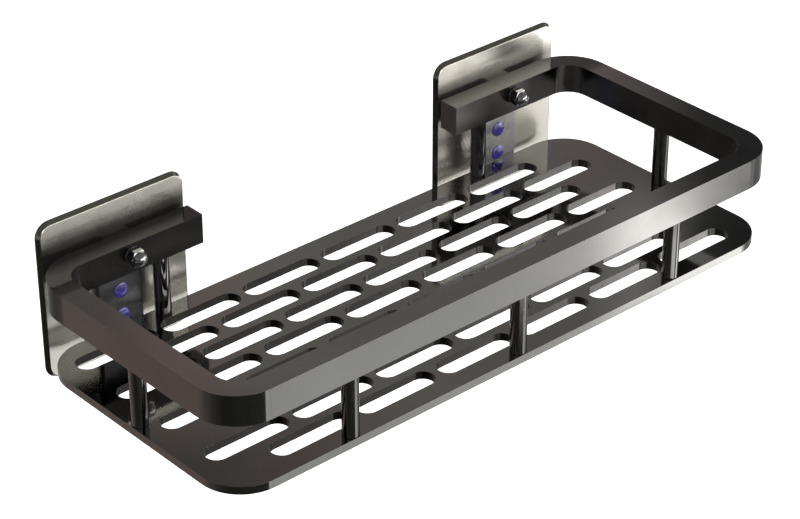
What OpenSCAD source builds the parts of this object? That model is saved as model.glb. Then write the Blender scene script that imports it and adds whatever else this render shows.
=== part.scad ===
/* [Guard rail] */
// Outside length of the guard rail, side to side
rail_l = 300; // [290:0.5:320]
// Outside depth of the guard rail, front to back
rail_w = 128.3; // [120:0.1:150]
// Width of the rail's bar, seen from above
bar_w = 10; // [9:0.1:12]
// Height of the rail's bar
bar_h = 13.4; // [12:0.1:18]
// Outside radius of the rail's corners
rail_corner_r = 20; // [16:0.5:28]
// Gap between the two square-cut ends at the back
rail_back_gap = 140.4; // [100:0.2:160]
// Clear height between shelf plate and guard rail
rail_clear_h = 28.2; // [25:0.1:40]

/* [Shelf plate] */
// How far the shelf plate's ends stay inside the guard rail's
plate_inset_x = 1.7; // [1:0.1:3]
// How far its front and back edges stay inside the guard rail's
plate_inset_y = 1.15; // [1.1:0.05:3]
// Thickness of the shelf plate
plate_t = 3.6; // [3:0.1:6]
// Radius of the shelf plate's corners
plate_corner_r = 19.5; // [12:0.5:28]

/* [Drain slots] */
// End-to-end length of one drain slot
slot_l = 39.2; // [20:0.1:60]
// Width of one drain slot
slot_w = 10.3; // [5:0.1:14]
// Metal left between two slots of one row
slot_end_web = 3.55; // [2:0.05:10]
// Metal left between two rows
slot_row_web = 3.65; // [2:0.05:10]
// Sideways step between one row and the next
slot_stagger = 20.4; // [0:0.1:25]
// Metal left between the plate's left edge and the first slot
slot_margin_x = 9; // [8:0.1:20]
// Least metal left between the front or back edge and the nearest row
slot_margin_y = 8.8; // [8:0.1:20]

/* [Posts] */
// Diameter of a post
post_d = 7; // [6:0.1:7.5]
// Distance from the shelf plate's edge to a post's axis
post_inset = 3.85; // [3.8:0.05:4.6]
// Distance from the middle to the outer posts of the front and back
post_x = 88.5; // [70:0.5:91]

/* [Post screws] */
// Shank diameter of the countersunk screws that run up through the posts
screw_d = 3; // [2:0.1:3.2]
// How far a screw's head stands out round its shank
screw_head_lip = 1.3; // [0.8:0.1:1.4]
// Straight rim of the screw head
screw_head_rim = 0.2; // [0.1:0.05:0.6]
// Length of screw that bites into the guard rail
screw_bite = 7; // [3:0.5:9]
// Spare depth of the blind hole past the screw's tip
screw_tip_room = 1; // [0.5:0.1:2]
// Diameter of the hexagon recess in the screw head
screw_key_d = 2; // [1.2:0.1:2.4]
// Depth of the hexagon recess in the screw head
screw_key_depth = 0.9; // [0.5:0.1:1.2]

/* [Wall plates] */
// Side of a square wall plate
wall_plate_size = 72.4; // [66:0.2:90]
// Corner radius of a wall plate
wall_plate_r = 6.5; // [3:0.5:12]
// Depth of a wall plate from its front face to its back rim
wall_plate_depth = 2.2; // [1.8:0.1:4]
// Sheet thickness of a wall plate's front
wall_plate_sheet = 1.2; // [1:0.1:1.5]
// Width of the sloped edge round a wall plate's front
wall_plate_bevel = 1.4; // [0.5:0.1:1.6]
// Width of the turned-back rim that surrounds the pad
wall_plate_rim = 2.4; // [1.8:0.1:2.8]
// Distance from the middle of the shelf to a wall plate's middle
wall_plate_x = 105.5; // [103:0.5:110]

/* [Adhesive pads] */
// How far a pad stands proud of the wall plate's rim
pad_proud = 0.4; // [0.2:0.1:1]
// Gap between a pad's edge and the rim around it
pad_edge_gap = 0.3; // [0.1:0.1:1]

/* [Studs] */
// Diameter of a stud
stud_d = 4; // [4:0.1:6]
// Height of the studs above the middle of the wall plates
stud_rise = 15.3; // [10:0.1:20]
// How far the studs lie above the middle of the rail's bar
stud_lift = 1.4; // [0:0.1:2]
// How far a stud's flush head stands out round its shank
stud_head_lip = 1.5; // [1:0.1:3]
// Thickness of a stud's flush head
stud_head_t = 0.6; // [0.4:0.1:0.8]

/* [Washers and cap nuts] */
// Width of a washer's ring
washer_ring = 1.65; // [1.2:0.05:3]
// Thickness of a washer
washer_t = 0.6; // [0.4:0.1:1.6]
// Metal between a cap nut's bore and its flats
nut_wall = 1.45; // [1.3:0.05:2.5]
// Height of a cap nut's hexagon
nut_hex_h = 4; // [3:0.1:5]
// Height of the dome on a cap nut
nut_dome_h = 3.1; // [2.9:0.1:4]
// Step from the nut's flats in to the foot of its dome
nut_dome_step = 0.4; // [0.2:0.05:0.5]
// How far the stud reaches past the nut's hexagon into its dome
nut_dome_grip = 1; // [0.5:0.1:1.1]
// Spare depth of a cap nut's bore past the stud's end
nut_bore_room = 0.5; // [0.3:0.1:0.6]

/* [Hanger brackets] */
// Width of the boss between guard rail and wall plate
boss_w = 12.3; // [9:0.1:18]
// Depth of the boss, the gap between guard rail and wall plate
boss_depth = 2.4; // [2:0.05:10]
// Width of the bracket's hanging tab
tab_w = 21; // [14:0.5:24]
// Thickness of the hanging tab
tab_t = 1.4; // [1:0.05:2]
// How far the tab's upper edge lies below the top of the guard rail
tab_top_drop = 3.1; // [2:0.1:3.4]
// How far the tab reaches below the top of the shelf plate
tab_reach = 1.6; // [0.5:0.1:2.5]
// Corner radius of the tab
tab_r = 1; // [0.5:0.1:3]

/* [Bumper plugs] */
// Diameter of a bumper's neck through the tab
bumper_neck_d = 4; // [3:0.1:4.4]
// How far a bumper's domed head stands out round its neck
bumper_head_lip = 1.5; // [0.8:0.1:1.8]
// Height of a bumper's domed head
bumper_head_h = 0.9; // [0.6:0.05:1.05]
// How far a bumper's foot stands out round its neck
bumper_foot_lip = 2; // [0.8:0.1:2.2]
// Height of the lower bumper above the top of the shelf plate
bumper_low_rise = 3.2; // [3:0.1:5]
// Distance between the lower and the upper bumper
bumper_pitch = 12; // [9:0.5:14]

/* [Clearances] */
// Radial clearance of a stud in rail and boss
stud_hole_gap = 0.25; // [0.15:0.05:0.5]
// Radial clearance of a stud in its washer
washer_gap = 0.15; // [0.1:0.05:0.3]
// Radial clearance of a screw in its post
post_bore_gap = 0.2; // [0.1:0.05:0.3]
// Radial clearance of seated pieces: screws, stud heads, necks, nut bores
seat_gap = 0.05; // [0.02:0.01:0.1]

/* [Hidden] */
$fn = 64;
// Overshoot of a cut past the face it breaks through
cut = 1;
// Sides of the round corners in the sloped edge of a wall plate
slope_fn = 32;
// How far a cap nut's dome is rooted in its hexagon
nut_dome_root = 0.4;

// Planes across the shelf: the wall is y = 0 and the room lies towards -y
pad_recess_floor_y = -(pad_proud + wall_plate_depth - wall_plate_sheet);
stud_head_front_y = pad_recess_floor_y - stud_head_t;
wall_plate_front_y = -(pad_proud + wall_plate_depth);
rail_back_y = wall_plate_front_y - boss_depth;
rail_mid_y = rail_back_y - rail_w / 2;
return_front_y = rail_back_y - bar_w;
nut_seat_y = return_front_y - washer_t;
stud_tip_y = nut_seat_y - nut_hex_h - nut_dome_grip;
tab_back_y = rail_back_y + tab_t;

// Levels: z = 0 is the middle of the wall plates
stud_z = stud_rise;
rail_top_z = stud_z - stud_lift + bar_h / 2;
rail_bottom_z = rail_top_z - bar_h;
plate_top_z = rail_bottom_z - rail_clear_h;
plate_bottom_z = plate_top_z - plate_t;
tab_top_z = rail_top_z - tab_top_drop;
tab_bottom_z = plate_top_z - tab_reach;
bumper_low_z = plate_top_z + bumper_low_rise;
bumper_high_z = bumper_low_z + bumper_pitch;

// Outline of the shelf plate, seen from above
plate_l = rail_l - 2 * plate_inset_x;
plate_w = rail_w - 2 * plate_inset_y;

// Slot field: as many slots as the plate holds between its margins
slot_pitch = slot_l + slot_end_web;
row_pitch = slot_w + slot_row_web;
slots_per_row = floor((plate_l - 2 * slot_margin_x - slot_stagger + slot_end_web) / slot_pitch);
slot_rows = floor((plate_w - 2 * slot_margin_y + slot_row_web) / row_pitch);
first_slot_x = -plate_l / 2 + slot_margin_x + slot_l / 2;
back_row_y = rail_mid_y + (slot_rows - 1) / 2 * row_pitch;

// Axes of the seven posts, in the order of their nodes
post_front_y = rail_mid_y - plate_w / 2 + post_inset;
post_back_y = rail_mid_y + plate_w / 2 - post_inset;
post_side_x = plate_l / 2 - post_inset;
post_places = [
    [-post_x, post_front_y], [0, post_front_y], [post_x, post_front_y],
    [-post_side_x, rail_mid_y], [post_side_x, rail_mid_y],
    [-post_x, post_back_y], [post_x, post_back_y]
];

// Screws, nuts and bumpers
screw_head_d = screw_d + 2 * screw_head_lip;
screw_tip_z = rail_bottom_z + screw_bite;
nut_bore_d = stud_d + 2 * seat_gap;
nut_af = nut_bore_d + 2 * nut_wall;
nut_dome_d = nut_af - 2 * nut_dome_step;
bumper_head_d = bumper_neck_d + 2 * bumper_head_lip;
bumper_foot_d = bumper_neck_d + 2 * bumper_foot_lip;

// Radius of the sphere whose cap has base diameter d and height h
function cap_sphere_r(d, h) = (pow(d / 2, 2) + pow(h, 2)) / (2 * h);

// Flat rectangle with round corners, centred
module rounded_rect(l, w, r) {
    union() {
        square([l - 2 * r, w], center = true);
        square([l, w - 2 * r], center = true);
        for (sx = [-1, 1], sy = [-1, 1])
            translate([sx * (l / 2 - r), sy * (w / 2 - r)]) circle(r = r);
    }
}

// Flat slot with round ends, centred, along x
module slot_shape(l, w) {
    union() {
        square([l - w, w], center = true);
        for (s = [-1, 1])
            translate([s * (l - w) / 2, 0]) circle(d = w);
    }
}

// Turns a shape that is drawn flat in x and y, and grows along +z, so that it
// stands upright at the plane y and grows from there towards the room
module from_wall(x, y, z) {
    translate([x, y, z]) rotate([90, 0, 0]) children();
}

// Spherical cap of base diameter d and height h above z = 0, whose root reaches
// down into the piece that it stands on
module cap_dome(d, h, root) {
    intersection() {
        translate([0, 0, -root]) cylinder(d = d + 2 * cut, h = root + h + cut);
        translate([0, 0, h - cap_sphere_r(d, h)]) sphere(r = cap_sphere_r(d, h));
    }
}

// Countersunk screw, head down, with the head's face at z = 0
module screw_solid(grow, length) {
    head_d = screw_head_d + 2 * grow;
    shank_d = screw_d + 2 * grow;
    cylinder(d = head_d, h = screw_head_rim);
    translate([0, 0, screw_head_rim]) cylinder(d1 = head_d, d2 = shank_d, h = screw_head_lip);
    cylinder(d = shank_d, h = length);
}

// Every second row, counted from the back, starts one stagger further right
module slot_field() {
    for (row = [0 : slot_rows - 1], k = [0 : slots_per_row - 1]) {
        slot_x = first_slot_x + k * slot_pitch + (row % 2) * slot_stagger;
        translate([slot_x, back_row_y - row * row_pitch]) slot_shape(slot_l, slot_w);
    }
}

module shelf_plate() {
    color([0.27, 0.26, 0.25])
    difference() {
        translate([0, 0, plate_bottom_z])
            linear_extrude(height = plate_t)
                translate([0, rail_mid_y]) rounded_rect(plate_l, plate_w, plate_corner_r);
        translate([0, 0, plate_bottom_z - cut])
            linear_extrude(height = plate_t + 2 * cut) slot_field();
        for (place = post_places)
            translate([place[0], place[1], plate_bottom_z])
                screw_solid(seat_gap, plate_t + cut);
    }
}

// The bar's outline seen from above: a rounded frame, open behind
module rail_outline() {
    difference() {
        translate([0, rail_mid_y]) rounded_rect(rail_l, rail_w, rail_corner_r);
        translate([0, rail_mid_y])
            rounded_rect(rail_l - 2 * bar_w, rail_w - 2 * bar_w, rail_corner_r - bar_w);
        translate([0, rail_back_y - bar_w / 2])
            square([rail_back_gap, bar_w + 2 * cut], center = true);
    }
}

module guard_rail() {
    color([0.36, 0.35, 0.34])
    difference() {
        translate([0, 0, rail_bottom_z]) linear_extrude(height = bar_h) rail_outline();
        for (side = [-1, 1])
            from_wall(side * wall_plate_x, rail_back_y + cut, stud_z)
                cylinder(d = stud_d + 2 * stud_hole_gap, h = bar_w + 2 * cut);
        for (place = post_places)
            translate([place[0], place[1], rail_bottom_z - cut])
                cylinder(d = screw_d + 2 * seat_gap, h = screw_bite + screw_tip_room + cut);
    }
}

module post(index) {
    color([0.3, 0.29, 0.28])
    translate([post_places[index][0], post_places[index][1], plate_top_z])
        difference() {
            cylinder(d = post_d, h = rail_clear_h);
            translate([0, 0, -cut])
                cylinder(d = screw_d + 2 * post_bore_gap, h = rail_clear_h + 2 * cut);
        }
}

module post_screws() {
    color([0.6, 0.6, 0.6])
    for (place = post_places)
        translate([place[0], place[1], plate_bottom_z])
            difference() {
                screw_solid(0, screw_tip_z - plate_bottom_z);
                translate([0, 0, -cut]) cylinder(d = screw_key_d, h = screw_key_depth + cut, $fn = 6);
            }
}

// One piece: the boss that spaces the rail off the wall plate, and the tab
// that hangs down behind the shelf plate. Side is -1 on the left, 1 on the right
module hanger_bracket(side) {
    tab_h = tab_top_z - tab_bottom_z;
    color([0.55, 0.55, 0.57])
    difference() {
        union() {
            translate([side * wall_plate_x - boss_w / 2, rail_back_y, rail_bottom_z])
                cube([boss_w, boss_depth, bar_h]);
            from_wall(side * wall_plate_x, tab_back_y, tab_bottom_z + tab_h / 2)
                linear_extrude(height = tab_t) rounded_rect(tab_w, tab_h, tab_r);
        }
        from_wall(side * wall_plate_x, wall_plate_front_y + cut, stud_z)
            cylinder(d = stud_d + 2 * stud_hole_gap, h = boss_depth + 2 * cut);
        for (z = [bumper_low_z, bumper_high_z])
            from_wall(side * wall_plate_x, tab_back_y + cut, z)
                cylinder(d = bumper_neck_d + 2 * seat_gap, h = tab_t + 2 * cut);
    }
}

// Domed head in front of the tab, neck through it, foot against the wall plate
module bumper(side, z) {
    color([0.27, 0.23, 0.55])
    union() {
        from_wall(side * wall_plate_x, wall_plate_front_y, z) {
            cylinder(d = bumper_foot_d, h = boss_depth - tab_t);
            cylinder(d = bumper_neck_d, h = boss_depth + bumper_head_h / 2);
        }
        from_wall(side * wall_plate_x, rail_back_y, z)
            cap_dome(bumper_head_d, bumper_head_h, 0);
    }
}

// Panel with a sloped edge in front and a recess for the pad behind
module wall_plate(side) {
    face = wall_plate_size - 2 * wall_plate_bevel;
    recess = wall_plate_size - 2 * wall_plate_rim;
    color([0.72, 0.7, 0.65])
    difference() {
        from_wall(side * wall_plate_x, -pad_proud, 0)
            hull() {
                linear_extrude(height = wall_plate_depth - wall_plate_bevel)
                    rounded_rect(wall_plate_size, wall_plate_size, wall_plate_r, $fn = slope_fn);
                linear_extrude(height = wall_plate_depth)
                    rounded_rect(face, face, wall_plate_r - wall_plate_bevel, $fn = slope_fn);
            }
        from_wall(side * wall_plate_x, -pad_proud + cut, 0)
            linear_extrude(height = wall_plate_depth - wall_plate_sheet + cut)
                rounded_rect(recess, recess, wall_plate_r - wall_plate_rim);
        from_wall(side * wall_plate_x, pad_recess_floor_y + cut, stud_z) {
            cylinder(d = stud_d + 2 * (stud_head_lip + seat_gap), h = stud_head_t + cut);
            cylinder(d = stud_d + 2 * seat_gap, h = wall_plate_sheet + 2 * cut);
        }
    }
}

module adhesive_pad(side) {
    pad_size = wall_plate_size - 2 * (wall_plate_rim + pad_edge_gap);
    color([0.85, 0.85, 0.84])
    from_wall(side * wall_plate_x, 0, 0)
        linear_extrude(height = -pad_recess_floor_y)
            rounded_rect(pad_size, pad_size, wall_plate_r - wall_plate_rim);
}

module stud(side) {
    color([0.62, 0.62, 0.62])
    from_wall(side * wall_plate_x, pad_recess_floor_y, stud_z)
        union() {
            cylinder(d = stud_d + 2 * stud_head_lip, h = stud_head_t);
            cylinder(d = stud_d, h = pad_recess_floor_y - stud_tip_y);
        }
}

module washer(side) {
    hole_d = stud_d + 2 * washer_gap;
    color([0.08, 0.08, 0.09])
    from_wall(side * wall_plate_x, return_front_y, stud_z)
        difference() {
            cylinder(d = hole_d + 2 * washer_ring, h = washer_t);
            translate([0, 0, -cut]) cylinder(d = hole_d, h = washer_t + 2 * cut);
        }
}

module cap_nut(side) {
    bore_depth = nut_hex_h + nut_dome_grip + nut_bore_room;
    color([0.85, 0.85, 0.87])
    from_wall(side * wall_plate_x, nut_seat_y, stud_z)
        difference() {
            union() {
                cylinder(d = nut_af / cos(30), h = nut_hex_h, $fn = 6);
                translate([0, 0, nut_hex_h]) cap_dome(nut_dome_d, nut_dome_h, nut_dome_root);
            }
            translate([0, 0, -cut]) cylinder(d = nut_bore_d, h = bore_depth + cut);
        }
}

shelf_plate();
guard_rail();
post(0);  // post_front_left
post(1);  // post_front_middle
post(2);  // post_front_right
post(3);  // post_side_left
post(4);  // post_side_right
post(5);  // post_back_left
post(6);  // post_back_right
post_screws();
hanger_bracket(-1);  // hanger_bracket_left
hanger_bracket(1);  // hanger_bracket_right
bumper(-1, bumper_high_z);  // bumper_upper_left
bumper(1, bumper_high_z);  // bumper_upper_right
bumper(-1, bumper_low_z);  // bumper_lower_left
bumper(1, bumper_low_z);  // bumper_lower_right
wall_plate(-1);  // wall_plate_left
wall_plate(1);  // wall_plate_right
adhesive_pad(-1);  // adhesive_pad_left
adhesive_pad(1);  // adhesive_pad_right
stud(-1);  // stud_left
stud(1);  // stud_right
washer(-1);  // washer_left
washer(1);  // washer_right
cap_nut(-1);  // cap_nut_left
cap_nut(1);  // cap_nut_right
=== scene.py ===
import bpy, bmesh, math
from mathutils import Vector, Matrix


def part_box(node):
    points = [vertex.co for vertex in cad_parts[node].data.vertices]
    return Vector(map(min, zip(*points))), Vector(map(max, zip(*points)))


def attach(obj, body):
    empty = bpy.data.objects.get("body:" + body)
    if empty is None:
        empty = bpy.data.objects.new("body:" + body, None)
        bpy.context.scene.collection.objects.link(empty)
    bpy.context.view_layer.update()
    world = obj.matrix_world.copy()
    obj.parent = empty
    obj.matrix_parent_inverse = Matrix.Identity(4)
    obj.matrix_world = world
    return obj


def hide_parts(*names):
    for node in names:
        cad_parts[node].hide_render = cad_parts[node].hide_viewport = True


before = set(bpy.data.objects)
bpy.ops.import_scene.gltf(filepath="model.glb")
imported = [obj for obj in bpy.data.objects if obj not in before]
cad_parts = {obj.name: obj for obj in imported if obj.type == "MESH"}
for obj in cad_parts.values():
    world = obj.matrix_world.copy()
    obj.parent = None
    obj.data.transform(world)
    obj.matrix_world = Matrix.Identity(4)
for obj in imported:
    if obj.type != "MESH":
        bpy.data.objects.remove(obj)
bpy.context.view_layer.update()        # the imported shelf: bodies, nodes, joints and record
print("frame loaded,", len(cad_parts), "solids")

mm = 0.001
grainDepth = 0.2 * mm      # how deep full-strength grain is
weld, fineWeld, cutWeld = 1e-6, 1e-7, 1e-8      # metres within which points count as one
sides = ("left", "right")


def addObject(name, data):
    thing = bpy.data.objects.new(name, data)
    bpy.context.scene.collection.objects.link(thing)
    return thing


# the camera stands high to the left and looks down along the shelf
cameraSetup = {
    "place": (-0.61244, -0.74866, 0.53843),
    "right": (0.74831, -0.66335, -0.00100),
    "up": (0.33925, 0.38140, 0.85992),
    "lens": 115.755, "sensor": 36.0, "near": 0.05, "far": 50,
}
camData = bpy.data.cameras.new("shelfCamera")
camData.lens = cameraSetup["lens"]
camData.sensor_width = cameraSetup["sensor"]
camData.clip_start, camData.clip_end = cameraSetup["near"], cameraSetup["far"]
camObject = addObject("shelfCamera", camData)
camRight = Vector(cameraSetup["right"]).normalized()
camBack = camRight.cross(Vector(cameraSetup["up"]).normalized())
camUp = camBack.cross(camRight)
camTurn = Matrix((camRight, camUp, camBack)).transposed().to_4x4()
camObject.matrix_world = Matrix.Translation(cameraSetup["place"]) @ camTurn
bpy.context.scene.camera = camObject
bpy.context.scene.view_settings.view_transform = "Standard"
print("camera set")


def link(tree, a, b):
    tree.links.new(a, b)


def addNode(tree, kind, place, **settings):
    node = tree.nodes.new(kind)
    node.location = place
    for key, value in settings.items():
        setattr(node, key, value)
    return node


def emptyTree(owner):
    owner.use_nodes = True
    owner.node_tree.nodes.clear()
    return owner.node_tree


def newMaterial(name):
    mat = bpy.data.materials.new(name)
    tree = emptyTree(mat)
    out = addNode(tree, "ShaderNodeOutputMaterial", (700, 0))
    shader = addNode(tree, "ShaderNodeBsdfPrincipled", (400, 0))
    link(tree, shader.outputs[0], out.inputs[0])
    return mat, tree, shader


def objectNoise(tree, scale, detail, rough, place):
    coord = addNode(tree, "ShaderNodeTexCoord", (place[0] - 200, place[1]))
    noise = addNode(tree, "ShaderNodeTexNoise", place)
    noise.inputs["Scale"].default_value = scale
    noise.inputs["Detail"].default_value = detail
    noise.inputs["Roughness"].default_value = rough
    link(tree, coord.outputs["Object"], noise.inputs["Vector"])
    return noise.outputs["Fac"]


def colourRamp(tree, fac, stops, place):
    ramp = addNode(tree, "ShaderNodeValToRGB", place)
    marks = ramp.color_ramp.elements
    for mark, (pos, colour) in ((marks[0], stops[0]), (marks[1], stops[-1])):
        mark.position = pos
        mark.color = (*colour, 1)
    for pos, colour in stops[1:-1]:
        marks.new(pos).color = (*colour, 1)
    link(tree, fac, ramp.inputs[0])
    return ramp.outputs[0]


def mapRange(tree, value, low, high, toLow, toHigh, place):
    node = addNode(tree, "ShaderNodeMapRange", place)
    node.inputs["From Min"].default_value = low
    node.inputs["From Max"].default_value = high
    node.inputs["To Min"].default_value = toLow
    node.inputs["To Max"].default_value = toHigh
    link(tree, value, node.inputs["Value"])
    return node.outputs[0]


def addBump(tree, shader, height, strength):
    bump = addNode(tree, "ShaderNodeBump", (100, -500))
    bump.inputs["Strength"].default_value = strength
    bump.inputs["Distance"].default_value = grainDepth
    link(tree, height, bump.inputs["Height"])
    link(tree, bump.outputs[0], shader.inputs["Normal"])


def mixShaders(tree, share, first, second, place):
    node = addNode(tree, "ShaderNodeMixShader", place)
    for spot, source in enumerate((share, first, second)):
        link(tree, source, node.inputs[spot])
    return node.outputs[0]


# plated and polished metals: cloudy tone, smudges in the gloss, fine grain; "along" is an axis of the shelf
# and the painted shade and reflection at places on it, in metres
nickelLook = {"colour": (0.25, 0.248, 0.24), "metal": 1.0, "roughLow": 0.045, "roughHigh": 0.085,
              "cloudScale": 22, "grainScale": 900, "grain": 0.008, "spread": 0.07}
railPaintedShade = {      # painted shade and reflection: the sides darken towards the wall
    "left": [(-0.0305, 1.0), (-0.0285, 0.5), (-0.022, 0.25), (-0.002, 0.2)],
    "right": [(-0.030, 1.0), (-0.0255, 0.42), (-0.021, 0.30), (-0.016, 0.36), (-0.002, 0.36)],
}
# inner faces of the rail: the tone along X is painted shade, darker to the left
insideLook = {"colour": (0.19, 0.185, 0.18), "metal": 1.0, "roughLow": 0.20, "roughHigh": 0.26,
              "cloudScale": 30, "grainScale": 1100, "grain": 0.004, "spread": 0.12,
              "along": ("X", [(-0.150, 0.3), (-0.08, 0.4), (0.08, 0.95), (0.135, 0.9), (0.150, 0.6)])}
backBarLook = {**insideLook, "along": ("X", [      # inner face of the bars at the wall: painted shade and reflection
    (-0.150, 0.3), (-0.07, 0.41), (0.07, 1.0), (0.09, 0.36), (0.107, 0.38), (0.116, 0.14), (0.135, 0.12)])}
# slot walls: the tone along X is painted shade, darker to the left
cutLook = {"colour": (0.15, 0.145, 0.14), "metal": 1.0, "roughLow": 0.11, "roughHigh": 0.15,
           "cloudScale": 90, "grainScale": 1200, "grain": 0.002, "spread": 0.15,
           "along": ("X", [(-0.150, 0.25), (-0.02, 0.35), (0.05, 0.75), (0.12, 1.0)])}
steelLook = {"colour": (0.93, 0.90, 0.825), "metal": 0.95, "roughLow": 0.23, "roughHigh": 0.28,
             "cloudScale": 26, "grainScale": 1300, "grain": 0.002, "spread": 0.03}
wallPaintedShade = {      # painted shade and reflection of the rail: darker behind the rail than above and below it
    "left": [(0.006, 0.86), (0.013, 0.35), (0.0215, 0.16), (0.0245, 0.23), (0.0280, 0.72), (0.0305, 1.0)],
    "right": [(0.006, 0.62), (0.013, 0.42), (0.0215, 0.33), (0.0240, 0.50), (0.0270, 0.82), (0.030, 1.0)],
}
# the rim: a darker copy of the wall steel, painted reflection
rimPaintedDarkLook = {"colour": (0.20, 0.195, 0.165), "metal": 1.0, "roughLow": 0.12, "roughHigh": 0.18,
           "cloudScale": 40, "grainScale": 1300, "grain": 0.012, "spread": 0.06}
# the tone along X is painted shade: the left bracket darker than the right
bracketLook = {"colour": (0.48, 0.48, 0.492), "metal": 0.86, "roughLow": 0.20, "roughHigh": 0.28,
               "cloudScale": 40, "grainScale": 900, "grain": 0.004, "spread": 0.06,
               "along": ("X", [(-0.09, 0.33), (0.09, 1.0)])}
hardwareLook = {"colour": (0.56, 0.56, 0.57), "metal": 1.0, "roughLow": 0.18, "roughHigh": 0.30,
                "cloudScale": 120, "grainScale": 1500, "grain": 0.02, "spread": 0.08}
chromeLook = {"colour": (0.34, 0.34, 0.35), "metal": 1.0, "roughLow": 0.02, "roughHigh": 0.04,
              "cloudScale": 160, "grainScale": 1500, "grain": 0.006, "spread": 0.04}
metalNoise = {"cloudDetail": 4, "cloudRough": 0.55, "cloudStops": (0.25, 0.5, 0.75), "smudgeRatio": 2.3,
              "smudgeDetail": 5, "smudgeRough": 0.6, "smudgeRange": (0.3, 0.7), "grainDetail": 2,
              "grainRough": 0.5}


# multiplies the base colour by a ramp along one axis: painted shade and reflection
def shadeAlong(tree, base, axis, stops):
    where = addNode(tree, "ShaderNodeTexCoord", (-1100, 600))
    parts = addNode(tree, "ShaderNodeSeparateXYZ", (-900, 600))
    link(tree, where.outputs["Object"], parts.inputs[0])
    first, last = stops[0][0], stops[-1][0]
    share = mapRange(tree, parts.outputs[axis], first, last, 0, 1, (-700, 600))
    marks = [((at - first) / (last - first), (tone,) * 3) for at, tone in stops]
    tones = colourRamp(tree, share, marks, (-500, 600))
    shaded = addNode(tree, "ShaderNodeMix", (0, 300), data_type="RGBA", blend_type="MULTIPLY")
    shaded.inputs["Factor"].default_value = 1
    link(tree, base, shaded.inputs["A"])
    link(tree, tones, shaded.inputs["B"])
    return shaded.outputs["Result"]


def makeMetal(name, look):
    mat, tree, shader = newMaterial(name)
    noise = metalNoise
    shader.inputs["Metallic"].default_value = look["metal"]
    clouds = objectNoise(tree, look["cloudScale"], noise["cloudDetail"], noise["cloudRough"], (-700, 200))
    darker = tuple(v * (1 - look["spread"]) for v in look["colour"])
    lighter = tuple(min(1, v * (1 + look["spread"])) for v in look["colour"])
    stops = list(zip(noise["cloudStops"], (darker, look["colour"], lighter)))
    base = colourRamp(tree, clouds, stops, (-300, 200))
    if "along" in look:
        base = shadeAlong(tree, base, *look["along"])
    link(tree, base, shader.inputs["Base Color"])
    smudge = objectNoise(tree, look["cloudScale"] * noise["smudgeRatio"], noise["smudgeDetail"],
                         noise["smudgeRough"], (-700, -150))
    rough = mapRange(tree, smudge, *noise["smudgeRange"], look["roughLow"], look["roughHigh"], (-300, -150))
    link(tree, rough, shader.inputs["Roughness"])
    grain = objectNoise(tree, look["grainScale"], noise["grainDetail"], noise["grainRough"], (-700, -500))
    addBump(tree, shader, grain, look["grain"])
    return mat


darkNickel = makeMetal("darkNickel", nickelLook)
# rail nickel for each side, with painted shade and reflection darkening it towards the wall
railNickelPaintedShade = {side: makeMetal("railNickelPaintedShade_" + side, {**nickelLook, "along": ("Y", railPaintedShade[side])})
              for side in sides}
railInside = makeMetal("railInside", insideLook)
railBackBar = makeMetal("railBackBar", backBarLook)
slotCut = makeMetal("slotCut", cutLook)
wallSteelPaintedShade = {side: makeMetal("wallSteelPaintedShade_" + side, {**steelLook, "along": ("Z", wallPaintedShade[side])})
             for side in sides}
rimSteelPaintedDark = makeMetal("rimSteelPaintedDark", rimPaintedDarkLook)
bracketSteel = makeMetal("bracketSteel", bracketLook)
hardwareSteel = makeMetal("hardwareSteel", hardwareLook)
brightChrome = makeMetal("brightChrome", chromeLook)

# moulded and foamed plastics: specks in the tone, uneven gloss, a fine skin
bumperLook = {"colour": (0.050, 0.036, 0.24), "rough": 0.10, "speck": 260, "bump": 0.012, "coat": 1.0}
nylonLook = {"colour": (0.022, 0.022, 0.024), "rough": 0.42, "speck": 400, "bump": 0.08, "coat": 0.0}
foamLook = {"colour": (0.62, 0.64, 0.63), "rough": 0.62, "speck": 500, "bump": 0.25, "coat": 0.0}
plasticNoise = {"range": (0.3, 0.7), "dark": 0.86, "light": 1.12, "glossy": 0.8, "dull": 1.25, "detail": 3,
                "glossRatio": 3, "skinRatio": 12, "skinDetail": 2, "rough": 0.5, "coatRough": 0.05}


def makePlastic(name, look):
    mat, tree, shader = newMaterial(name)
    noise = plasticNoise
    shader.inputs["Coat Weight"].default_value = look["coat"]
    shader.inputs["Coat Roughness"].default_value = noise["coatRough"]
    tone = objectNoise(tree, look["speck"], noise["detail"], noise["rough"], (-700, 200))
    darker = tuple(v * noise["dark"] for v in look["colour"])
    lighter = tuple(min(1, v * noise["light"]) for v in look["colour"])
    base = colourRamp(tree, tone, list(zip(noise["range"], (darker, lighter))), (-300, 200))
    link(tree, base, shader.inputs["Base Color"])
    gloss = objectNoise(tree, look["speck"] * noise["glossRatio"], noise["detail"], noise["rough"],
                        (-700, -150))
    rough = mapRange(tree, gloss, *noise["range"], look["rough"] * noise["glossy"],
                     look["rough"] * noise["dull"], (-300, -150))
    link(tree, rough, shader.inputs["Roughness"])
    skin = objectNoise(tree, look["speck"] * noise["skinRatio"], noise["skinDetail"], noise["rough"],
                       (-700, -500))
    addBump(tree, shader, skin, look["bump"])
    return mat


bumperPlastic = makePlastic("bumperPlastic", bumperLook)
washerNylon = makePlastic("washerNylon", nylonLook)
padFoam = makePlastic("padFoam", foamLook)
print("materials made")


def nodeSpan(node):
    low, high = (Vector(c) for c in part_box(node))
    return low, high, (low + high) / 2


def meshFrom(bm, name):
    mesh = bpy.data.meshes.new(name)
    bm.to_mesh(mesh)
    bm.free()
    return mesh


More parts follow.
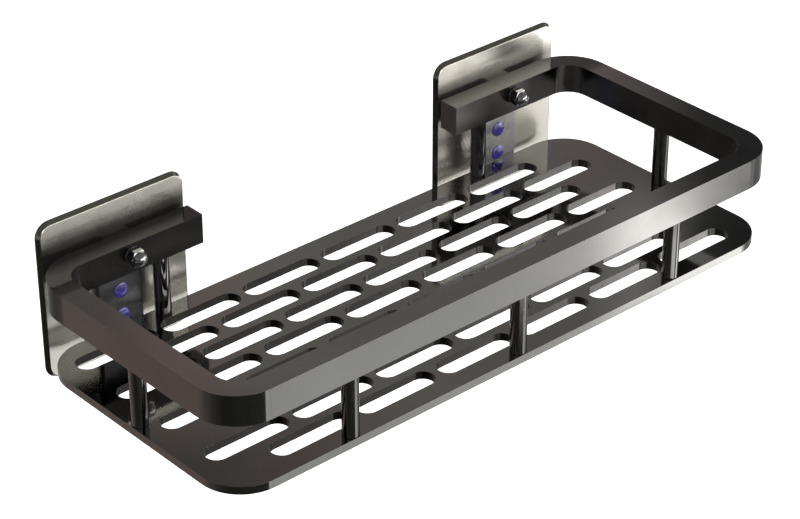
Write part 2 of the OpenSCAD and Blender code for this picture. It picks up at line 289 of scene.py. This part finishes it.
def finishPiece(bm, name, mats, body, nodes, smoothAngle=35):
    bmesh.ops.recalc_face_normals(bm, faces=bm.faces)
    mesh = meshFrom(bm, name)
    piece = addObject(name, mesh)
    for mat in mats:
        mesh.materials.append(mat)
    for poly in mesh.polygons:
        poly.use_smooth = True
    mesh.set_sharp_from_angle(angle=math.radians(smoothAngle))
    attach(piece, body)
    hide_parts(*nodes)
    return piece


def weightNormals(piece):
    mod = piece.modifiers.new("weightedNormals", "WEIGHTED_NORMAL")
    mod.keep_sharp = True
    mod.weight = 60


# angles in degrees: an edge above "sharp" is eased, one below "flat" is dropped
usualEdges = {"sharp": 28, "flat": 0.6}


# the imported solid, merged and with its edges broken as on the real piece
def easedCopy(node, ownShape):
    shape = {**usualEdges, **ownShape}
    bm = bmesh.new()
    bm.from_mesh(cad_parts[node].data)
    bmesh.ops.remove_doubles(bm, verts=bm.verts, dist=weld)
    bmesh.ops.dissolve_limit(bm, angle_limit=math.radians(shape["flat"]), verts=bm.verts, edges=bm.edges,
                             use_dissolve_boundaries=False)
    sharpFrom = math.radians(shape["sharp"])
    sharp = [e for e in bm.edges if len(e.link_faces) == 2 and e.calc_face_angle(0) > sharpFrom]
    bmesh.ops.bevel(bm, geom=sharp, offset=shape["edge"], offset_type="OFFSET", segments=shape["rings"],
                    profile=0.5, affect="EDGES", clamp_overlap=True, material=-1, loop_slide=True)
    return bm


def drawOutline(bm, outline, base, along):
    verts = [bm.verts.new(base + Vector((r, 0, 0)) + along * a) for r, a in outline]
    return verts + [bm.edges.new((a, b)) for a, b in zip(verts, verts[1:])]


# turns an outline of (radius, place along the axis) about a line along y or z
def turned(bm, outline, middle, steps, axis="Y"):
    along = Vector((0, 1, 0)) if axis == "Y" else Vector((0, 0, 1))
    base = Vector((middle.x, 0, middle.z)) if axis == "Y" else Vector((middle.x, middle.y, 0))
    bmesh.ops.spin(bm, geom=drawOutline(bm, outline, base, along), cent=base, axis=along, dvec=(0, 0, 0),
                   angle=math.tau, steps=steps, use_merge=True, use_duplicate=False)
    bmesh.ops.remove_doubles(bm, verts=bm.verts, dist=fineWeld)
    return bm


# an elliptical arc about a foot on the axis, from a start angle up to the axis
def dome(foot, radius, height, start, count):
    turns = [math.radians(start + (90 - start) * i / count) for i in range(count + 1)]
    return [(radius * math.cos(turn), foot + height * math.sin(turn)) for turn in turns]


# slotted shelf plate: mirror top and rim, duller walls in the cut slots with painted shade along them
plateShape = {"edge": 0.32 * mm, "rings": 3, "rimBand": 3.0 * mm, "corner": 10 * mm,
              "cutTilt": (-0.95, 0.3)}
plateBm = easedCopy("shelf_plate", plateShape)
plateHigh, plateMid = nodeSpan("shelf_plate")[1:]
plateHalf = plateHigh - plateMid
for face in plateBm.faces:
    c = face.calc_center_median()
    margins = (plateHalf.x - abs(c.x - plateMid.x), plateHalf.y - abs(c.y - plateMid.y))
    isCut = plateShape["cutTilt"][0] < face.normal.z < plateShape["cutTilt"][1]
    if isCut and min(margins) > plateShape["rimBand"] and max(margins) >= plateShape["corner"]:
        face.material_index = 1
shelfPlate = finishPiece(plateBm, "shelfPlate", [darkNickel, slotCut], "basket",
                         ["shelf_plate"])
weightNormals(shelfPlate)
print("shelf plate made,", len(shelfPlate.data.polygons), "faces")

# guard rail: a half for each side's painted shade, and its inner sides left satin with painted shade along
# them
railShape = {"edge": 0.35 * mm, "rings": 3, "sideTilt": 0.5, "frontTilt": -0.99}
railBm = easedCopy("guard_rail", railShape)
railMid = nodeSpan("guard_rail")[2]
bmesh.ops.bisect_plane(railBm, geom=railBm.verts[:] + railBm.edges[:] + railBm.faces[:], plane_co=railMid,
                       plane_no=(1, 0, 0), dist=fineWeld)
for face in railBm.faces:
    inward = railMid - face.calc_center_median()
    facesIn = face.normal.x * inward.x + face.normal.y * inward.y > 0
    if facesIn and abs(face.normal.z) < railShape["sideTilt"]:
        face.material_index = 3 if face.normal.y < railShape["frontTilt"] else 1
    elif inward.x > 0:
        face.material_index = 2
railMats = [railNickelPaintedShade["right"], railInside, railNickelPaintedShade["left"], railBackBar]
guardRail = finishPiece(railBm, "guardRail", railMats, "basket", ["guard_rail"])
weightNormals(guardRail)
print("guard rail made,", len(guardRail.data.polygons), "faces")

# hanger brackets: the boss before the wall plate has a top that is plated like the rail's, with its painted
# shade
bracketShape = {"edge": 0.35 * mm, "rings": 3, "topTilt": 0.5, "bossBack": -2.6 * mm}
for side in sides:
    node = "hanger_bracket_" + side
    bm = easedCopy(node, bracketShape)
    for face in bm.faces:
        onTop = face.normal.z > bracketShape["topTilt"]
        if onTop and face.calc_center_median().y < bracketShape["bossBack"]:
            face.material_index = 1
    bracket = finishPiece(bm, "hangerBracket_" + side, [bracketSteel, railNickelPaintedShade[side]], "basket",
                          [node])
    weightNormals(bracket)
print("hanger brackets made")

postShape = {"chamfer": 0.25 * mm, "bore": 1.7 * mm, "steps": 64}
postNodes = [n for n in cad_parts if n.startswith("post_") and n != "post_screws"]
for node in postNodes:
    low, high, mid = nodeSpan(node)
    r, c, b = (high.x - low.x) / 2, postShape["chamfer"], postShape["bore"]
    outline = [(b, low.z), (r - c, low.z), (r, low.z + c), (r, high.z - c), (r - c, high.z), (b, high.z),
               (b, low.z)]
    bm = turned(bmesh.new(), outline, mid, postShape["steps"], "Z")
    finishPiece(bm, node.replace("post", "railPost"), [darkNickel], "basket", [node])
print("posts made,", len(postNodes))

screwShape = {"edge": 0.07 * mm, "rings": 2}
screwBm = easedCopy("post_screws", screwShape)
finishPiece(screwBm, "postScrews", [hardwareSteel], "basket", ["post_screws"])
print("post screws made")

# wall plates: satin face with painted shade, and polished rim painted dark as a painted reflection
wallPlateShape = {"edge": 0.18 * mm, "rings": 3, "sharp": 24, "flat": 0.3, "rimBand": 2.3 * mm,
                  "faceTilt": -0.93, "smooth": 30}
for side in sides:
    node = "wall_plate_" + side
    bm = easedCopy(node, wallPlateShape)
    low, high, mid = nodeSpan(node)
    rimFrom = (high.x - low.x) / 2 - wallPlateShape["rimBand"]
    for face in bm.faces:
        c = face.calc_center_median()
        outer = max(abs(c.x - mid.x), abs(c.z - mid.z)) > rimFrom
        if outer and face.normal.y > wallPlateShape["faceTilt"]:
            face.material_index = 1
    plate = finishPiece(bm, "wallPlate_" + side, [wallSteelPaintedShade[side], rimSteelPaintedDark], "wall_mounts",
                        [node], wallPlateShape["smooth"])
    weightNormals(plate)
print("wall plates made")

padShape = {"edge": 0.25 * mm, "rings": 2}
for side in sides:
    node = "adhesive_pad_" + side
    bm = easedCopy(node, padShape)
    finishPiece(bm, "adhesivePad_" + side, [padFoam], "wall_mounts", [node])
print("adhesive pads made")

# threaded studs: flush head in the wall plate, smooth neck, thread, turned tip; the thread's
# profile is given in shares of its pitch, where the crest ends and where the root begins and ends
studShape = {"shank": 2.0 * mm, "pitch": 0.7 * mm, "depth": 0.42 * mm, "profile": (0.14, 0.52, 0.62),
             "stepsPerTurn": 28, "leadTurns": 1.5, "spareTurns": 3, "headDepth": 0.6 * mm,
             "headEase": 0.1 * mm, "neck": 2.6 * mm, "neckCone": 0.25 * mm, "neckTuck": 0.3 * mm,
             "tip": 0.7 * mm, "tipTuck": 0.1 * mm, "tipCone": 0.35 * mm, "steps": 40}
for side in sides:
    low, high, mid = nodeSpan("stud_" + side)
    s = studShape
    crest, pitch, headR = s["shank"], s["pitch"], (high.x - low.x) / 2
    root = crest - s["depth"]
    neckEnd, tipStart = high.y - s["neck"], low.y + s["tip"]
    crestEnd, rootStart, rootEnd = (share * pitch for share in s["profile"])
    bm = bmesh.new()
    ridge = [(crest, 0), (crest, -crestEnd), (root, -rootStart), (root, -rootEnd), (crest, -pitch)]
    threadTop = Vector((mid.x, neckEnd + s["leadTurns"] * pitch, mid.z))
    thread = drawOutline(bm, ridge, threadTop, Vector((0, 1, 0)))
    turns = math.ceil((neckEnd - tipStart) / pitch) + s["spareTurns"]
    bmesh.ops.spin(bm, geom=thread, cent=(mid.x, 0, mid.z), axis=(0, -1, 0),
                   dvec=(0, -pitch / s["stepsPerTurn"], 0), angle=turns * math.tau,
                   steps=turns * s["stepsPerTurn"], use_merge=False, use_duplicate=False)
    bmesh.ops.remove_doubles(bm, verts=bm.verts, dist=weld)
    for y, facing in ((neckEnd, 1), (tipStart, -1)):
        bmesh.ops.bisect_plane(bm, geom=bm.verts[:] + bm.edges[:] + bm.faces[:], plane_co=(0, y, 0),
                               plane_no=(0, facing, 0), clear_outer=True, dist=cutWeld)
    bmesh.ops.holes_fill(bm, edges=[e for e in bm.edges if e.is_boundary], sides=0)
    ends = bmesh.new()
    headBack, tuck = high.y - s["headDepth"], neckEnd - s["neckTuck"]
    head = [(0, high.y), (headR - s["headEase"], high.y), (headR, high.y - s["headEase"]), (headR, headBack),
            (crest, headBack), (crest, neckEnd), (root, neckEnd - s["neckCone"]), (root, tuck), (0, tuck)]
    turned(ends, head, mid, s["steps"])
    tuck = tipStart + s["tipTuck"]
    tip = [(0, tuck), (root, tuck), (root, low.y + s["tipCone"]), (root - s["tipCone"], low.y), (0, low.y)]
    turned(ends, tip, mid, s["steps"])
    endsMesh = meshFrom(ends, "studEnds")
    bm.from_mesh(endsMesh)
    bpy.data.meshes.remove(endsMesh)
    finishPiece(bm, "stud_" + side + "_thread", [hardwareSteel], "wall_mounts",
                ["stud_" + side])
print("studs made")

washerShape = {"hole": 2.15 * mm, "soft": 0.15 * mm, "corner": 0.3, "steps": 56}
for side in sides:
    low, high, mid = nodeSpan("washer_" + side)
    r, h, s = (high.x - low.x) / 2, washerShape["hole"], washerShape["soft"]
    k = washerShape["corner"] * s
    outline = [(h, high.y - s), (h + s, high.y), (r - s, high.y), (r - k, high.y - k), (r, high.y - s),
               (r, low.y + s), (r - k, low.y + k), (r - s, low.y), (h + s, low.y), (h, low.y + s),
               (h, high.y - s)]
    bm = turned(bmesh.new(), outline, mid, washerShape["steps"])
    finishPiece(bm, "nutWasher_" + side, [washerNylon], "washer_" + side,
                ["washer_" + side])
print("washers made")

# cap nuts: turned blank with chamfered ends and dome, then its six flats; heights count from the seat
nutShape = {"flats": 7.0 * mm, "hexHeight": 4.0 * mm, "chamfer": 0.42 * mm, "face": 3.36 * mm, "rings": 9,
            "bore": 2.05 * mm, "boreDepth": 5.4 * mm, "drillPoint": 0.9 * mm, "lip": 0.3 * mm,
            "domeInset": 0.4 * mm, "domeFoot": 0.08 * mm, "domeStart": 4, "domeSteps": 22, "steps": 120,
            "smooth": 24}
for side in sides:
    low, high, mid = nodeSpan("cap_nut_" + side)
    n = nutShape
    corner = n["flats"] / 2 / math.cos(math.radians(30))
    domeR, foot = n["flats"] / 2 - n["domeInset"], n["domeFoot"]
    domeH = (high.y - low.y) - n["hexHeight"]
    slope = [(n["face"] + (corner - n["face"]) * i / n["rings"], n["chamfer"] * i / n["rings"])
             for i in range(n["rings"] + 1)]
    outline = [(0, n["boreDepth"]), (n["bore"], n["boreDepth"] - n["drillPoint"]), (n["bore"], n["lip"]),
               (n["bore"] + n["lip"], 0)]
    outline += slope
    outline += [(r, n["hexHeight"] - a) for r, a in reversed(slope)]
    outline += [(domeR + foot / 2, n["hexHeight"]), (domeR, n["hexHeight"] + foot)]
    outline += dome(n["hexHeight"] + foot, domeR, domeH - foot, n["domeStart"], n["domeSteps"])
    bm = turned(bmesh.new(), [(r, high.y - a) for r, a in outline], mid, n["steps"])
    for v in bm.verts:
        dx, dz = v.co.x - mid.x, v.co.z - mid.z
        r = math.hypot(dx, dz)
        if v.co.y > high.y - n["hexHeight"] - weld and r > n["face"] - weld:
            turn = math.degrees(math.atan2(dz, dx))
            off = math.radians(turn - (30 + 60 * round((turn - 30) / 60)))      # angle from the nearest flat
            limit = n["flats"] / 2 / math.cos(off)
            if r > limit:
                v.co.x, v.co.z = mid.x + dx * limit / r, mid.z + dz * limit / r
    finishPiece(bm, "capNut_" + side, [brightChrome], "cap_nut_" + side,
                ["cap_nut_" + side], n["smooth"])
print("cap nuts made")

# bumper plugs: domed head before the tab, neck through it, foot at the wall plate
bumperShape = {"neck": 1.95 * mm, "headRadius": 3.5 * mm, "headHeight": 0.9 * mm, "headRim": 0.22 * mm,
               "headSoft": 0.08 * mm, "footHeight": 1.0 * mm, "footEase": 0.2 * mm, "footSoft": 0.15 * mm,
               "steps": 56, "domeSteps": 14, "smooth": 40}
for side in sides:
    for level in ("upper", "lower"):
        node = "bumper_" + level + "_" + side
        low, high, mid = nodeSpan(node)
        b = bumperShape
        footR = (high.x - low.x) / 2
        frontY, footY = low.y + b["headHeight"], high.y - b["footHeight"]
        outline = [(0, high.y), (footR - b["footEase"], high.y), (footR, high.y - b["footEase"]),
                   (footR, footY + b["footSoft"]), (footR - b["footSoft"], footY), (b["neck"], footY),
                   (b["neck"], frontY), (b["headRadius"] - b["headSoft"], frontY)]
        head = dome(b["headRim"], b["headRadius"], b["headHeight"] - b["headRim"], 0, b["domeSteps"])
        outline += [(r, frontY - a) for r, a in head]
        bm = turned(bmesh.new(), outline, mid, b["steps"])
        finishPiece(bm, "bumperPlug_" + level + "_" + side, [bumperPlastic], "basket",
                    [node], b["smooth"])
print("bumper plugs made")

studio = {
    "floorHeight": -0.30, "floorSize": 8.0, "paper": 0.82, "paperGlow": 0.45, "ambient": 0.75,
    "lamps": {
        "keyLamp": {"place": (0.9, -1.0, 1.15), "size": 0.9, "power": 26},
        "fillLamp": {"place": (-1.2, -0.4, 0.9), "size": 1.1, "power": 8},
    },
    "aim": (0, -0.07, 0),
    # what the metal mirrors, in bands from below to above: azimuth from the wall side
    # towards the right, in degrees, and its tone, one number for a grey
    "mirrorStrength": 4,
    "rings": {
        "deep": [
            (-180, (0.05, 0.05, 0.045)), (-138, (0.04, 0.04, 0.035)), (-107, (0.036, 0.036, 0.03)),
            (-76, (0.11, 0.1, 0.095)), (-60, (0.2, 0.165, 0.155)), (-46, (0.27, 0.2, 0.19)),
            (-35, (0.29, 0.23, 0.21)), (0, (0.34, 0.32, 0.31)), (19, 0.4), (49, 1.1), (60, 0.5), (109, 0.28),
            (119, 0.6), (129.7, (0.5, 0.5, 0.49)), (131.3, (1.9, 1.88, 1.85)), (132.8, (2.2, 2.17, 2.13)),
            (133.6, (1.2, 1.19, 1.17)), (135, (1.05, 1.05, 1.04)), (138, (0.95, 0.95, 0.945)),
            (157.5, (0.88, 0.88, 0.875)), (159, (0.06, 0.06, 0.055)), (180, (0.05, 0.05, 0.045))],
        "low": [
            (-180, (0.05, 0.05, 0.045)), (-107, (0.036, 0.036, 0.03)), (-76, (0.08, 0.075, 0.07)),
            (-51, 0.045), (-46, (0.05, 0.047, 0.045)), (-43.5, (0.15, 0.14, 0.125)),
            (-35, (0.22, 0.19, 0.18)), (0, (0.34, 0.32, 0.31)), (19, 0.4), (49, 1.1), (60, 0.5),
            (79, 0.26), (109, 0.28), (119, 0.5),
            (127, (0.4, 0.4, 0.39)), (129.7, (0.28, 0.28, 0.27)), (130.1, (0.6, 0.6, 0.58)),
            (130.7, (1.0, 0.98, 0.95)), (131.3, (1.6, 1.57, 1.53)), (131.8, (3.3, 3.25, 3.2)),
            (132.9, (3.6, 3.55, 3.5)), (133.7, (1.2, 1.19, 1.17)), (135, (1.05, 1.05, 1.04)),
            (138, (0.95, 0.95, 0.945)), (141.5, (0.92, 0.92, 0.915)), (143.5, (0.16, 0.16, 0.155)),
            (157, (0.12, 0.12, 0.115)), (180, (0.05, 0.05, 0.045))],
        "edge": [
            (-180, (1.6, 1.58, 1.56)), (-152, (1.5, 1.48, 1.46)), (-144, (0.12, 0.12, 0.11)),
            (-107, (0.036, 0.036, 0.03)), (-76, (0.08, 0.075, 0.07)), (-51, 0.045),
            (-46, (0.05, 0.047, 0.045)), (-43.5, (0.15, 0.14, 0.125)), (-35, (0.22, 0.19, 0.18)),
            (0, (0.34, 0.32, 0.31)), (19, 0.4), (49, 1.1), (60, 0.5), (79, 0.26), (109, 0.4), (119, 1.4),
            (127, (3.2, 3.2, 3.15)), (131.2, (3.3, 3.25, 3.2)), (132.9, (3.2, 3.15, 3.1)),
            (133.6, (1.2, 1.19, 1.17)), (135, (1.05, 1.05, 1.04)), (138, (0.95, 0.95, 0.945)),
            (141.5, (0.92, 0.92, 0.915)), (143.5, (0.16, 0.16, 0.155)), (156, (0.12, 0.12, 0.115)),
            (161, (1.6, 1.58, 1.56)), (180, (1.6, 1.58, 1.56))],
        "shade": [
            (-180, 0.05), (-60, 0.06), (-46, (0.05, 0.05, 0.045)), (-43, (0.14, 0.13, 0.11)),
            (-35, (0.16, 0.14, 0.13)), (0, (0.25, 0.24, 0.23)), (49, 0.5), (100, 0.3), (129.5, 0.5),
            (131, (2.2, 2.15, 2.1)), (133, (2.2, 2.15, 2.1)), (134.1, 0.22), (142, 0.13), (160, 0.08),
            (180, 0.05)],
        "middle": [
            (-180, 0.1), (-160, 0.12), (-140, (0.65, 0.65, 0.64)), (-120, (0.35, 0.35, 0.34)),
            (-92, (0.7, 0.69, 0.68)), (-70, (0.45, 0.45, 0.44)), (-50, (0.2, 0.19, 0.18)),
            (-20, (0.35, 0.34, 0.33)), (20, (0.55, 0.54, 0.52)), (45, (0.8, 0.79, 0.77)), (58, 0.3),
            (62, (3.6, 3.58, 3.5)), (88, (3.6, 3.58, 3.5)), (92, 0.08), (120, 0.1), (126, (3.6, 3.55, 3.4)),
            (152, (4.0, 3.95, 3.8)), (157, 0.1), (180, 0.06)],
        "belt": [
            (-180, (3.6, 3.58, 3.5)), (-163, (3.6, 3.58, 3.5)), (-160, 0.08), (-130, 0.2),
            (-90, (0.5, 0.5, 0.49)), (-60, 0.3), (-35, (0.35, 0.34, 0.33)), (0, (0.45, 0.44, 0.42)),
            (35, (0.4, 0.39, 0.37)), (60, 0.3), (88, (0.45, 0.45, 0.44)), (104, 0.12),
            (108, (3.2, 3.15, 3.0)),
            (124, (3.8, 3.75, 3.6)), (156, (3.8, 3.75, 3.6)), (180, (3.6, 3.58, 3.5))],
        "back": [
            (-180, 0.2), (-75, 0.2), (-60, 0.06), (-40, 0.06), (0, (0.3, 0.27, 0.26)),
            (36, (0.3, 0.27, 0.26)),
            (41, (0.36, 0.35, 0.335)), (43.5, (0.35, 0.33, 0.32)), (45.2, (0.33, 0.285, 0.285)),
            (46.3, (0.31, 0.26, 0.26)), (47.4, (0.25, 0.215, 0.215)), (48.2, 0.12), (48.8, 0.05), (62, 0.03),
            (90, 0.2), (120, (0.25, 0.25, 0.24)), (180, 0.2)],
        "high": [
            (-180, 0.25), (-110, 0.3), (-75, (0.3, 0.3, 0.29)), (-60, 0.08), (-40, 0.08),
            (0, (0.3, 0.27, 0.26)), (32, (0.22, 0.2, 0.19)), (33.7, (0.2, 0.18, 0.17)),
            (34.5, (0.36, 0.28, 0.27)), (36.2, (0.36, 0.285, 0.275)), (37.4, (0.33, 0.315, 0.295)),
            (40, (0.29, 0.275, 0.26)), (43.4, (0.3, 0.28, 0.27)), (45, (0.29, 0.27, 0.26)),
            (46.4, (0.32, 0.305, 0.295)), (47.4, (0.42, 0.41, 0.4)), (48.4, (0.62, 0.62, 0.6)), (49.0, 0.1),
            (49.4, 0.03), (62, 0.03), (80, 0.2), (100, (0.3, 0.3, 0.29)), (150, (0.28, 0.28, 0.26)),
            (180, 0.25)],
        "top": [
            (-180, 0.25), (-40, 0.2), (0, (0.2, 0.18, 0.17)), (33, (0.15, 0.13, 0.12)),
            (36.5, (0.13, 0.12, 0.11)), (38.8, (0.19, 0.155, 0.15)), (41, (0.24, 0.22, 0.21)), (60, 0.2),
            (120, (0.3, 0.3, 0.28)), (150, (0.28, 0.28, 0.26)), (180, 0.25)],
    },
    # each band above the lowest: its ring, the height of a direction where it begins, half its blend
    "bandEdges": [("edge", -0.52, 0.006), ("low", -0.495, 0.004), ("shade", -0.474, 0.005),
                  ("middle", -0.385, 0.02), ("belt", -0.02, 0.02), ("back", 0.43, 0.012),
                  ("high", 0.486, 0.008), ("top", 0.562, 0.012)],
    "cloudScale": 7.0, "cloudRange": (0.35, 0.65), "cloudTones": (0.9, 1.1),
}


def ringRamp(tree, fac, ring, place):
    stops = []
    for az, tone in studio["rings"][ring]:
        colour = tone if isinstance(tone, tuple) else (tone,) * 3
        stops.append(((az + 180) / 360, tuple(v / studio["mirrorStrength"] for v in colour)))
    return colourRamp(tree, fac, stops, place)


def skyLight(tree, strength, place, colour=None):
    node = addNode(tree, "ShaderNodeBackground", place)
    node.inputs["Strength"].default_value = strength
    node.inputs["Color"].default_value = (1, 1, 1, 1)
    if colour:
        link(tree, colour, node.inputs["Color"])
    return node.outputs[0]


world = bpy.data.worlds.new("studioWorld")
bpy.context.scene.world = world
wt = emptyTree(world)
worldOut = addNode(wt, "ShaderNodeOutputWorld", (1200, 0))
coord = addNode(wt, "ShaderNodeTexCoord", (-1400, 0))
split = addNode(wt, "ShaderNodeSeparateXYZ", (-1200, 0))
link(wt, coord.outputs["Generated"], split.inputs[0])
azimuth = addNode(wt, "ShaderNodeMath", (-1000, 100), operation="ARCTAN2")
link(wt, split.outputs["X"], azimuth.inputs[0])
link(wt, split.outputs["Y"], azimuth.inputs[1])
turnShare = mapRange(wt, azimuth.outputs[0], -math.pi, math.pi, 0, 1, (-800, 100))
ringTone = ringRamp(wt, turnShare, "deep", (-500, 400))
for step, (ring, edge, blend) in enumerate(studio["bandEdges"]):
    share = mapRange(wt, split.outputs["Z"], edge - blend, edge + blend, 0, 1, (-500, -500 - 300 * step))
    tone = ringRamp(wt, turnShare, ring, (-500, 100 - 250 * step))
    bandMix = addNode(wt, "ShaderNodeMix", (-200 + 60 * step, 100 - 200 * step), data_type="RGBA")
    link(wt, share, bandMix.inputs["Factor"])
    link(wt, ringTone, bandMix.inputs["A"])
    link(wt, tone, bandMix.inputs["B"])
    ringTone = bandMix.outputs["Result"]
cloud = addNode(wt, "ShaderNodeTexNoise", (-900, -900))      # soft unevenness of the studio's walls
cloud.inputs["Scale"].default_value = studio["cloudScale"]
link(wt, coord.outputs["Generated"], cloud.inputs["Vector"])
cloudTone = mapRange(wt, cloud.outputs["Fac"], *studio["cloudRange"], *studio["cloudTones"], (-600, -1400))
cloudMix = addNode(wt, "ShaderNodeVectorMath", (100, -100), operation="SCALE")
link(wt, ringTone, cloudMix.inputs[0])
link(wt, cloudTone, cloudMix.inputs["Scale"])
mirrorLight = skyLight(wt, studio["mirrorStrength"], (300, 100), cloudMix.outputs[0])
plainLight = skyLight(wt, studio["ambient"], (300, -100))
whiteLight = skyLight(wt, 1, (300, -300))
path = addNode(wt, "ShaderNodeLightPath", (0, 500))
roomLight = mixShaders(wt, path.outputs["Is Glossy Ray"], plainLight, mirrorLight, (600, 0))
seenLight = mixShaders(wt, path.outputs["Is Camera Ray"], roomLight, whiteLight, (900, 0))
link(wt, seenLight, worldOut.inputs[0])

for name, setup in studio["lamps"].items():
    lampData = bpy.data.lights.new(name, "AREA")
    lampData.shape = "SQUARE"
    lampData.size = setup["size"]
    lampData.energy = setup["power"]
    lamp = addObject(name, lampData)
    lamp.location = setup["place"]
    lamp.rotation_mode = "QUATERNION"
    lamp.rotation_quaternion = (Vector(studio["aim"]) - Vector(setup["place"])).to_track_quat("-Z", "Y")
    lamp.visible_camera = False
    lamp.visible_glossy = False

floorBm = bmesh.new()
bmesh.ops.create_grid(floorBm, x_segments=2, y_segments=2, size=studio["floorSize"] / 2)
bmesh.ops.translate(floorBm, verts=floorBm.verts, vec=(0, 0, studio["floorHeight"]))
floorMesh = meshFrom(floorBm, "studioFloor")
studioFloor = addObject("studioFloor", floorMesh)
floorMat = bpy.data.materials.new("floorPaper")
ft = emptyTree(floorMat)
floorOut = addNode(ft, "ShaderNodeOutputMaterial", (800, 0))
paper = addNode(ft, "ShaderNodeBsdfDiffuse", (0, 0))
paper.inputs["Color"].default_value = (studio["paper"], studio["paper"], studio["paper"], 1)
glow = addNode(ft, "ShaderNodeEmission", (0, -200))
glow.inputs["Color"].default_value = (1, 1, 1, 1)
glow.inputs["Strength"].default_value = studio["paperGlow"]
floorPath = addNode(ft, "ShaderNodeLightPath", (-300, 400))
litPaper = addNode(ft, "ShaderNodeAddShader", (200, -100))
link(ft, paper.outputs[0], litPaper.inputs[0])
link(ft, glow.outputs[0], litPaper.inputs[1])
seen = mixShaders(ft, floorPath.outputs["Is Camera Ray"], paper.outputs[0], litPaper.outputs[0], (400, 0))
# seen from below, the floor lets the view through
clear = addNode(ft, "ShaderNodeBsdfTransparent", (400, -300))
geometry = addNode(ft, "ShaderNodeNewGeometry", (200, 300))
floorSurface = mixShaders(ft, geometry.outputs["Backfacing"], seen, clear.outputs[0], (600, 0))
link(ft, floorSurface, floorOut.inputs[0])
floorMesh.materials.append(floorMat)
studioFloor.visible_glossy = False
print("studio set")
